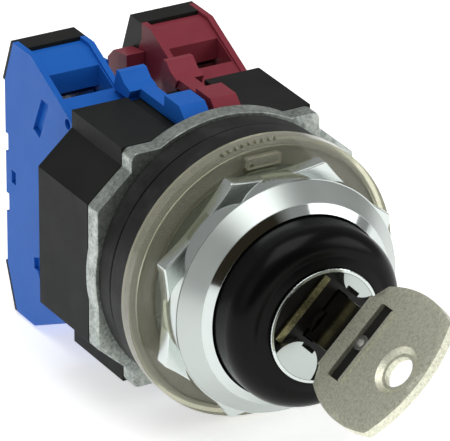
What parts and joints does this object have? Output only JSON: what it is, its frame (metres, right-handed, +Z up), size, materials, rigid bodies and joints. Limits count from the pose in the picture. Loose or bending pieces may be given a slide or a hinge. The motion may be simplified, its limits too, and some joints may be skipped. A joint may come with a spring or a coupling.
{
  "type": "selector key switch",
  "caption": "Key-operated panel selector switch: octagonal locking ring around a cylinder lock with its key, sealed panel neck, and a blue and a red contact block behind.",
  "frame": {"origin": "on the lock's axis, in the plane where the gasket meets the panel and the clear washer", "axes": "+Y from the key to the contact blocks along the lock's axis, +Z up, +X to the right of someone facing the key"},
  "size_m": [0.042, 0.0909, 0.0426],
  "materials": {
    "zinc": "die-cast zinc, mottled passivated surface",
    "chrome": "polished chrome plate",
    "clear_washer": "clear plastic, slightly yellowed",
    "gasket_rubber": "black rubber",
    "collar_black": "gloss black plastic",
    "lock_face_black": "matt black",
    "spring_brass": "dull brass",
    "wafer_brass": "stamped brass",
    "contact_brass": "brass strip with silver tips",
    "contact_copper": "copper bridge with silver tips",
    "key_nickel": "nickel-plated, blasted",
    "key_inlay_black": "matt black",
    "rivet_steel": "plated steel",
    "housing_black": "moulded black thermoplastic",
    "screw_steel": "zinc-plated steel",
    "spring_steel": "spring steel",
    "cam_white": "moulded white acetal",
    "plunger_white": "moulded white acetal",
    "block_blue": "moulded blue thermoplastic",
    "block_red": "moulded dark red thermoplastic",
    "cover_black": "moulded black thermoplastic"
  },
  "bodies": {
    "operator": {"operator_body": "zinc", "locking_ring": "chrome", "thrust_washer": "clear_washer", "front_gasket": "gasket_rubber", "rear_gasket": "gasket_rubber", "bezel_collar": "collar_black", "lock_barrel": "chrome", "barrel_clip": "spring_steel", "adapter_housing": "housing_black", "housing_screws": "screw_steel", "detent_balls": "rivet_steel", "detent_springs": "spring_steel", "no_block_shell": "block_blue", "no_block_rear_cover": "cover_black", "no_block_upper_contact": "contact_brass", "no_block_lower_contact": "contact_brass", "no_block_terminal_screws": "screw_steel", "no_block_wire_clamps": "screw_steel", "no_block_return_spring": "spring_steel", "nc_block_shell": "block_red", "nc_block_rear_cover": "cover_black", "nc_block_upper_contact": "contact_brass", "nc_block_lower_contact": "contact_brass", "nc_block_terminal_screws": "screw_steel", "nc_block_wire_clamps": "screw_steel", "nc_block_return_spring": "spring_steel"},
    "lock_core": {"lock_plug": "chrome", "plug_face": "lock_face_black", "shutter_spring": "spring_brass", "cam_rotor": "cam_white", "cam_screw": "screw_steel"},
    "key": {"key_blade": "key_nickel", "key_bow": "key_nickel", "key_inlay": "key_inlay_black", "key_rivet": "rivet_steel"},
    "wafer_1_body": {"wafer_1": "wafer_brass"},
    "wafer_2_body": {"wafer_2": "wafer_brass"},
    "wafer_3_body": {"wafer_3": "wafer_brass"},
    "wafer_4_body": {"wafer_4": "wafer_brass"},
    "no_plunger_set": {"no_block_plunger": "plunger_white", "no_block_bridge": "contact_copper", "no_block_contact_spring": "spring_steel"},
    "nc_plunger_set": {"nc_block_plunger": "plunger_white", "nc_block_bridge": "contact_copper", "nc_block_contact_spring": "spring_steel"}
  },
  "joints": [
    {"name": "lock_turn", "type": "hinge", "parent": "operator", "child": "lock_core", "pos_m": [0, 0, 0], "axis": [0, -1, 0], "range_deg": [0, 90]},
    {"name": "key_slide", "type": "slide", "parent": "lock_core", "child": "key", "axis": [0, -1, 0], "range_m": [0, 0.03]},
    {"name": "wafer_1_slide", "type": "slide", "parent": "lock_core", "child": "wafer_1_body", "axis": [0.7071, 0, 0.7071], "range_m": [0, 0.0005]},
    {"name": "wafer_2_slide", "type": "slide", "parent": "lock_core", "child": "wafer_2_body", "axis": [0.7071, 0, 0.7071], "range_m": [0, 0.0005]},
    {"name": "wafer_3_slide", "type": "slide", "parent": "lock_core", "child": "wafer_3_body", "axis": [0.7071, 0, 0.7071], "range_m": [0, 0.0005]},
    {"name": "wafer_4_slide", "type": "slide", "parent": "lock_core", "child": "wafer_4_body", "axis": [0.7071, 0, 0.7071], "range_m": [0, 0.0005]},
    {"name": "no_plunger_slide", "type": "slide", "parent": "operator", "child": "no_plunger_set", "axis": [0, -1, 0], "range_m": [0, 0.003]},
    {"name": "nc_plunger_slide", "type": "slide", "parent": "operator", "child": "nc_plunger_set", "axis": [0, -1, 0], "range_m": [0, 0.003]}
  ],
  "couplings": [
    {"joint": "wafer_1_slide", "follows": "key_slide", "ratio": 0.016667},
    {"joint": "wafer_2_slide", "follows": "key_slide", "ratio": 0.016667},
    {"joint": "wafer_3_slide", "follows": "key_slide", "ratio": 0.016667},
    {"joint": "wafer_4_slide", "follows": "key_slide", "ratio": 0.016667},
    {"joint": "no_plunger_slide", "follows": "lock_turn", "m_per_rad": 0.0019099},
    {"joint": "nc_plunger_slide", "follows": "lock_turn", "m_per_rad": 0.0019099}
  ]
}
